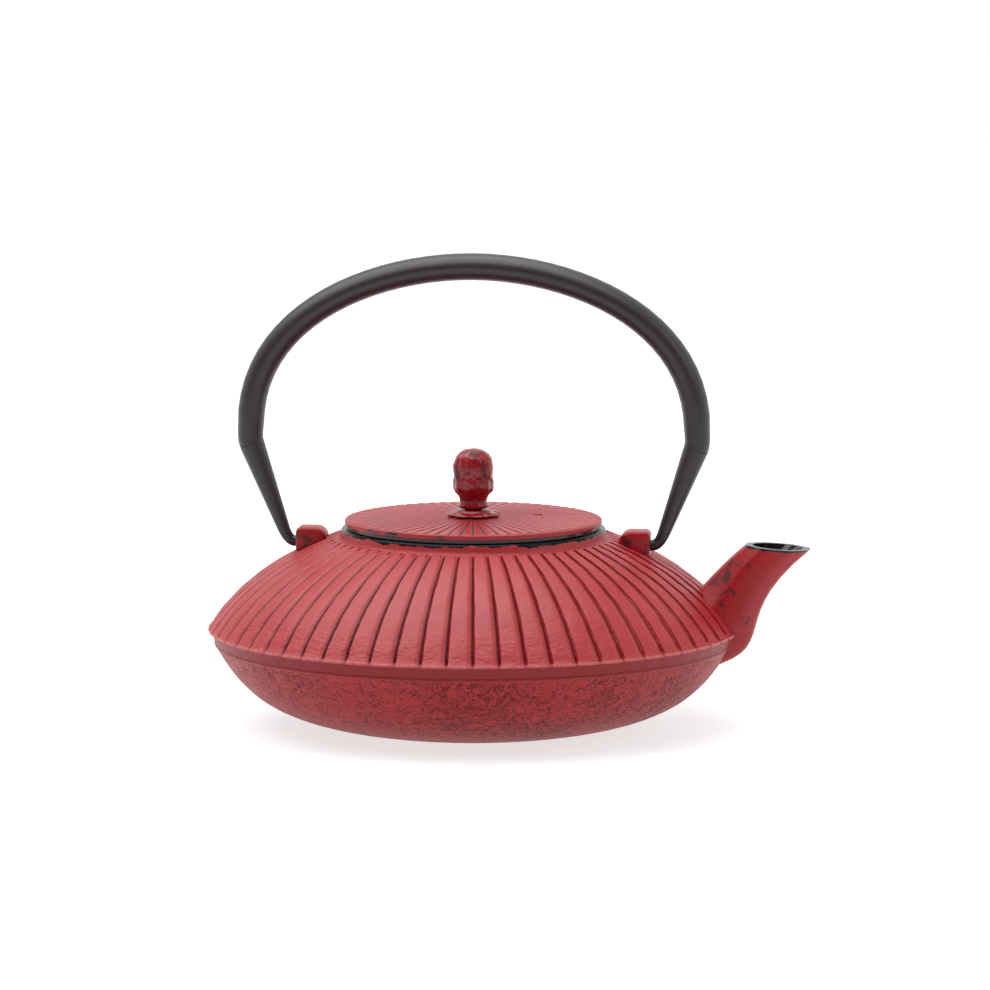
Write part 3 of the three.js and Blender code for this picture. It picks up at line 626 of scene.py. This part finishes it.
# Painted shade: the rays are darkest towards the front and the back, and get a quarter of it at the
# sides.
slant = put(lid_paint, "Math", {0: angle}, operation="SINE")
slant = put(lid_paint, "Math", {0: slant.outputs[0]}, operation="ABSOLUTE")
ray_shade_front_and_back = put(lid_paint, "MapRange", {0: slant.outputs[0], 1: 0.3, 2: 0.75, 3: 0.25, 4: 1})
for limit in (on_top, rayed, ray_shade_front_and_back):
    in_ray = put(lid_paint, "Math", {0: in_ray.outputs[0], 1: limit.outputs[0]},
                 operation="MULTIPLY")
speckle = put(lid_paint, "TexNoise", {"Vector": place, "Scale": 700, "Detail": 3, "Roughness": 0.6})
mottle = put(lid_paint, "TexNoise", {"Vector": place, "Scale": 60, "Detail": 4, "Roughness": 0.6})
smear = put(lid_paint, "TexNoise", {"Vector": place, "Scale": 55, "Detail": 5, "Roughness": 0.6})
smeared = put(lid_paint, "MapRange", {0: smear.outputs[0], 1: 0.5, 2: 0.72, 3: 0, 4: 0.55})
underneath = put(lid_paint, "MapRange", {0: height, 1: 63.35 * MM, 2: 63.1 * MM})
chipped = put(lid_paint, "MapRange", {0: smear.outputs[0], 1: 0.56, 2: 0.6})
on_side = put(lid_paint, "MapRange", {0: radius, 1: 39.7 * MM, 2: 40.0 * MM})
chipped = put(lid_paint, "Math", {0: chipped.outputs[0], 1: on_side.outputs[0]},
              operation="MULTIPLY")
black = put(lid_paint, "Math", {0: chipped.outputs[0], 1: underneath.outputs[0]},
            operation="MAXIMUM")
red = put(lid_paint, "MixRGB", {0: mottle.outputs[0], 1: linear("8e1018"), 2: linear("a01b23")})
red = put(lid_paint, "MixRGB", {0: smeared.outputs[0], 1: red.outputs[0], 2: linear("5a2426")})
red = put(lid_paint, "MixRGB", {0: in_ray.outputs[0], 1: red.outputs[0], 2: linear("3a1414")})
red = put(lid_paint, "MixRGB", {0: black.outputs[0], 1: red.outputs[0], 2: linear("0f0d10")})
gloss = put(lid_paint, "MapRange", {0: black.outputs[0], 3: 0.42, 4: 0.2})
relief = put(lid_paint, "Bump", {"Height": speckle.outputs[0], "Strength": 0.3,
                                 "Distance": 0.2 * MM})
put(lid_paint, shader, {"Base Color": red.outputs[0], "Roughness": gloss.outputs[0], "IOR": 1.5,
                        "Normal": relief.outputs[0]})
ready(lid, "lid", "red_cast_iron", [lid_paint, black_enamel], "lid")

# ------------------------------------------------------------------ the knob
# A cast bud with two rows of eight leaves and a threaded stud below, which goes through the rosette and
# the lid. A washer and a nut hold it from underneath.

LEAVES = 8


def on_crease(place, share):
    """Whether a place is on one of the creases between leaves, or a share of a leaf away from it."""
    turns = math.atan2(place.y, place.x) / math.tau * LEAVES + share
    return abs((turns + 0.5) % 1 - 0.5) < 0.02


threads = [(2.0 - 0.22 * (i % 2), 57.1 + 0.35 * i) for i in range(14)]
knob = turned("bud_knob", [
    (1.6, 56.9), *threads, (2.0, 62.4), (2.0, 68.1), (3.7, 68.1), (4.3, 68.25), (4.65, 68.8),
    (4.6, 69.4), (4.3, 69.9), (4.25, 70.6), (4.4, 71.5), (4.7, 72.2), (5.5, 72.9), (6.2, 73.7),
    (6.5, 74.9), (6.5, 76.3), (6.35, 77.3), (6.15, 77.7), (6.35, 78.2), (6.5, 79.3), (6.5, 81.2),
    (6.3, 82.7), (5.7, 84.2), (4.7, 85.4), (3.3, 86.3), (1.7, 86.7), (0.3, 86.8)], 32)
# Each row is pinched in at its creases, and the lower row is turned by half a leaf.
for low, high, shift in ((77.9, 85.8, 0), (73.2, 77.5, 0.5)):
    for part, pinch in ((0, 0.93), (0.25, 0.98), (-0.25, 0.98)):
        pick(knob, lambda p: low < p.z < high and on_crease(p, shift + part))
        bpy.ops.transform.resize(value=(pinch, pinch, 1), center_override=(0, 0, 80 * MM))
close_up(knob)
apply(knob, "SUBSURF", levels=2, render_levels=2)

# The casting is coarse, with lumps of 2.2 mm, up to a quarter of a millimetre high.
bud = knob.vertex_groups.new(name="bud")
bud.add([v.index for v in knob.data.vertices if v.co.z / MM > 68.6], 1, "REPLACE")
lumpy = bpy.data.textures.new("lumpy_casting", "CLOUDS")
lumpy.cloud_type, lumpy.noise_scale, lumpy.noise_depth = "COLOR", 2.2 * MM, 2
apply(knob, "DISPLACE", texture=lumpy, texture_coords="LOCAL", direction="RGB_TO_XYZ",
      strength=0.5 * MM, vertex_group="bud")
knob.vertex_groups.clear()

# Zinc plating on the stud, the washer and the nut: a dull grey shine with a bloom of 1.1 mm.
plated, shader = finish_of("zinc_plated_steel")
place = put(plated, "TexCoord").outputs["Object"]
bloom = put(plated, "TexNoise", {"Vector": place, "Scale": 900, "Detail": 3})
tone = put(plated, "MixRGB", {0: bloom.outputs[0], 1: linear("8f9396"), 2: linear("b9bcbd")})
dull = put(plated, "MapRange", {0: bloom.outputs[0], 3: 0.3, 4: 0.5})
put(plated, shader, {"Base Color": tone.outputs[0], "Metallic": 1, "Roughness": dull.outputs[0]})

# Gloss red paint on the cast bud. Its creases are painted darker, as shade, and the dark wash shows in
# upright smears of 3 mm by 7 mm, more of them towards the top. Both take the shine off there.
knob_paint, shader = finish_of("red_gloss_paint_on_cast_bud")
place = put(knob_paint, "TexCoord").outputs["Object"]
height = put(knob_paint, "SeparateXYZ", {0: place}).outputs[2]
upright = put(knob_paint, "Mapping", {0: place, 3: (1, 1, 0.45)})
smear = put(knob_paint, "TexNoise", {"Vector": upright.outputs[0], "Scale": 330, "Detail": 5,
                                     "Roughness": 0.6, "Distortion": 0.4})
high_up = put(knob_paint, "MapRange", {0: height, 1: 70 * MM, 2: 84 * MM, 3: -0.06, 4: 0.05})
level = put(knob_paint, "Math", {0: smear.outputs[0], 1: high_up.outputs[0]}, operation="ADD")
smeared = put(knob_paint, "MapRange", {0: level.outputs[0], 1: 0.5, 2: 0.64, 3: 0, 4: 0.75})
# Painted shade: where the bud curves inwards, in the creases between its leaves, the red is darkened.
crease = put(knob_paint, "NewGeometry").outputs["Pointiness"]
crease_shade = put(knob_paint, "MapRange", {0: crease, 1: 0.49, 2: 0.44, 3: 0, 4: 0.9})
smears_and_crease_shade = put(knob_paint, "Math", {0: smeared.outputs[0], 1: crease_shade.outputs[0]}, operation="MAXIMUM")
red = put(knob_paint, "MixRGB", {0: smear.outputs[0], 1: linear("7c0812"), 2: linear("9a121c")})
red = put(knob_paint, "MixRGB", {0: smears_and_crease_shade.outputs[0], 1: red.outputs[0], 2: linear("3c1616")})
relief = put(knob_paint, "Bump", {"Height": smear.outputs[0], "Strength": 0.3,
                                  "Distance": 0.3 * MM})
shine = put(knob_paint, "MapRange", {0: smears_and_crease_shade.outputs[0], 3: 0.5, 4: 0.15})
put(knob_paint, shader, {"Base Color": red.outputs[0], "Roughness": 0.24,
                         "Specular IOR Level": shine.outputs[0], "IOR": 1.5,
                         "Normal": relief.outputs[0]})
knob.data.materials.append(knob_paint)
knob.data.materials.append(plated)
for face in knob.data.polygons:
    face.material_index = 1 if face.center.z / MM < 67.5 else 0
ready(knob, "lid", "red_cast_iron", [knob_paint, plated], "lid_knob", crease=50)

# The rosette is a thin cast flower of eight petals, squeezed between the knob and the lid.
rosette = turned("flower_rosette", [
    (2.3, 65.9), (5.4, 65.9), (8.0, 65.9), (8.6, 66.05), (8.7, 66.35), (8.3, 66.8), (7.2, 67.15),
    (6.4, 67.2), (5.8, 67.0), (5.5, 67.05), (5.3, 67.5), (5.0, 67.8), (4.2, 67.8), (2.3, 67.8),
    (2.3, 65.9)], 64)
# It is drawn in and pressed down between the petals.
for part, pinch, drop in ((0, 0.84, 0.35), (0.125, 0.93, 0.15), (-0.125, 0.93, 0.15)):
    pick(rosette, lambda p: math.hypot(p.x, p.y) > 6.3 and on_crease(p, part))
    bpy.ops.transform.resize(value=(pinch, pinch, 1), center_override=(0, 0, 66.2 * MM))
    pick(rosette, lambda p: math.hypot(p.x, p.y) > 5.6 and p.z > 66.5 and on_crease(p, part))
    bpy.ops.transform.translate(value=(0, 0, -drop * MM))
close_up(rosette)
apply(rosette, "SUBSURF", levels=1, render_levels=1)
ready(rosette, "lid", "red_cast_iron", [knob_paint], "knob_rosette", crease=50)

washer = turned("round_washer", [
    (2.3, 61.3), (2.4, 61.2), (4.85, 61.2), (5.0, 61.35), (5.0, 61.85), (4.85, 62.0), (2.4, 62.0),
    (2.3, 61.9), (2.3, 61.3)], 48)
close_up(washer)
ready(washer, "lid", "stainless_steel", [plated], "knob_washer")

nut = start("hex_nut", bpy.ops.mesh.primitive_cylinder_add, vertices=6, radius=4.04 * MM,
            depth=3.2 * MM, location=(0, 0, 59.3 * MM))
pick(nut, lambda p: p.z > 60.8)
bpy.ops.mesh.bevel(offset=0.35 * MM, segments=2, affect="EDGES")
pick(nut, lambda p: p.z < 57.8)
bpy.ops.mesh.bevel(offset=0.35 * MM, segments=2, affect="EDGES")
close_up(nut)
thread_hole = turned("thread_hole", [(2.3, 57), (2.3, 62)], 32)
close_up(thread_hole)
combine(nut, thread_hole, "DIFFERENCE")
ready(nut, "lid", "stainless_steel", [plated], "knob_nut")

# ------------------------------------------------------------------ the handle
# A bent steel tube painted satin black. A solid leg plugs into each end, tapers, and hooks into its
# lug, so that the handle can swing down to either side.

# Satin black paint: a soft shine, an orange peel of 1.4 mm and faint clouds of 29 mm.
satin, shader = finish_of("satin_black_paint_on_steel_tube")
place = put(satin, "TexCoord").outputs["Object"]
peel = put(satin, "TexNoise", {"Vector": place, "Scale": 700, "Detail": 2})
cloudy = put(satin, "TexNoise", {"Vector": place, "Scale": 35, "Detail": 3})
tone = put(satin, "MixRGB", {0: cloudy.outputs[0], 1: linear("1c161b"), 2: linear("261e24")})
sheen = put(satin, "MapRange", {0: peel.outputs[0], 3: 0.34, 4: 0.46})
relief = put(satin, "Bump", {"Height": peel.outputs[0], "Strength": 0.15, "Distance": 0.1 * MM})
put(satin, shader, {"Base Color": tone.outputs[0], "Roughness": sheen.outputs[0], "IOR": 1.5,
                    "Normal": relief.outputs[0]})


def stations_of(points, sizes):
    """The stations of a bar along points, with its direction at each and its half sizes there."""
    run, stations = 0, []
    for i, point in enumerate(points):
        run += (Vector(point) - Vector(points[i - 1])).length if i else 0
        way = Vector(points[min(i + 1, len(points) - 1)]) - Vector(points[max(i - 1, 0)])
        stations.append((*point, (way.x, way.y), *sizes(run)))
    return stations


# The arch starts out along the leg's direction, then bends upright and over the top.
half_arch = [*line((69.52, 87.56), (70.1, 89.1), (69.95, 91.4), (69.8, 93.52), steps=9)[:-1],
             *line((69.8, 93.52), (69.8, 127.66), (32.11, 143.72), (0, 143.72), steps=22)]
whole_arch = half_arch + [(-x, z) for x, z in half_arch[-2::-1]]
arch_length = sum((Vector(b) - Vector(a)).length for a, b in zip(whole_arch, whole_arch[1:]))


def arch_size(run):
    """The tube is the size of the leg at its ends, and full size 12 mm further on."""
    share = min(1, max(0, min(run, arch_length - run) / 12))
    grown = share ** 2 * (3 - 2 * share)
    return 3.9 + 0.3 * grown, 4.6 + 0.6 * grown


arch = start("tube_arch", bpy.ops.mesh.primitive_circle_add, vertices=28, radius=1)
pulled(arch, stations_of(whole_arch, arch_size))
close_up(arch)
ready(arch, "handle", "black_steel", [satin], "handle_arch")

# A leg runs down to the lug, bends in and ends as a level pin.
leg_line = [*[(69.5 - 9.8 * i / 8, 87.5 - 26.18 * i / 8) for i in range(8)],
            *line((59.7, 61.32), (58.65, 58.52), (57.39, 57.12), (55.9, 57.12), steps=9)[:-1],
            (55.9, 57.12), (54, 57.12), (50.3, 57.12), (49.8, 57.12)]


def leg_size(run):
    """A leg thins out down to its pin, and the tip of the pin is narrower still."""
    thinned = min(1, run / 31.8)
    tip = 0.75 if run > 41.9 else 1
    return (3.9 - 2.2 * thinned) * tip, (4.6 - 2.9 * thinned) * tip


for side, name, node in ((1, "leg_by_spout", "handle_leg_spout"),
                         (-1, "leg_at_rear", "handle_leg_rear")):
    leg = start(name, bpy.ops.mesh.primitive_circle_add, vertices=28, radius=1)
    pulled(leg, stations_of(leg_line, leg_size))
    if side < 0:
        bpy.ops.transform.rotate(value=math.pi, orient_axis="Z", center_override=(0, 0, 0))
    close_up(leg)
    ready(leg, "handle", "black_steel", [satin], node)

# ------------------------------------------------------------------ the studio
# A white paper floor, a large soft box above, a small one to the right, and a white room that is bright
# behind the pot and dim in front of it. The camera stands well back, a little above the pot.

white, shader = finish_of("white_paper_floor")
put(white, shader, {"Base Color": linear("a8a8a8"), "Roughness": 0.9,
                    "Emission Color": linear("ffffff"), "Emission Strength": 0.7})
bpy.ops.object.select_all(action="DESELECT")
bpy.ops.mesh.primitive_plane_add(size=30)
floor = bpy.context.object
floor.name = "floor"
floor.data.materials.append(white)

for name, place, size, power in (("soft_box_above", (-0.25, -0.1, 1.15), 1.5, 22.5),
                                 ("soft_box_right", (1.3, -0.5, 0.9), 0.7, 3)):
    bpy.ops.object.light_add(type="AREA", location=place)
    lamp = bpy.context.object
    lamp.name = name
    lamp.data.size = size
    lamp.data.energy = power
    aim = Vector((0, 0, 50 * MM)) - Vector(place)
    lamp.rotation_euler = aim.to_track_quat("-Z", "Y").to_euler()

room = bpy.data.worlds.new("white_room")
bpy.context.scene.world = room
room.use_nodes = True
sky = room.node_tree.nodes["Background"]
way = put(room, "SeparateXYZ", {0: put(room, "TexCoord").outputs["Generated"]})
bright = put(room, "MapRange", {0: way.outputs[1], 1: -0.5, 2: 0.25, 3: 0.15, 4: 1.02})
put(room, sky, {"Color": (1, 1, 1, 1), "Strength": bright.outputs[0]})

swing, tilt, distance = math.radians(5.6), math.radians(7.5), 2.4
right = Vector((math.cos(swing), math.sin(swing), 0))
forward = Vector((-math.sin(swing), math.cos(swing), 0))
target = right * 6.73 * MM + Vector((0, 0, 72.22 * MM))
back_off = Vector((0, 0, math.sin(tilt))) - forward * math.cos(tilt)
bpy.ops.object.camera_add(location=target + back_off * distance,
                          rotation=(math.pi / 2 - tilt, 0, swing))
camera = bpy.context.object
camera.data.lens = 280
camera.data.sensor_width = 36
bpy.context.scene.camera = camera
bpy.context.scene.view_settings.view_transform = "Standard"
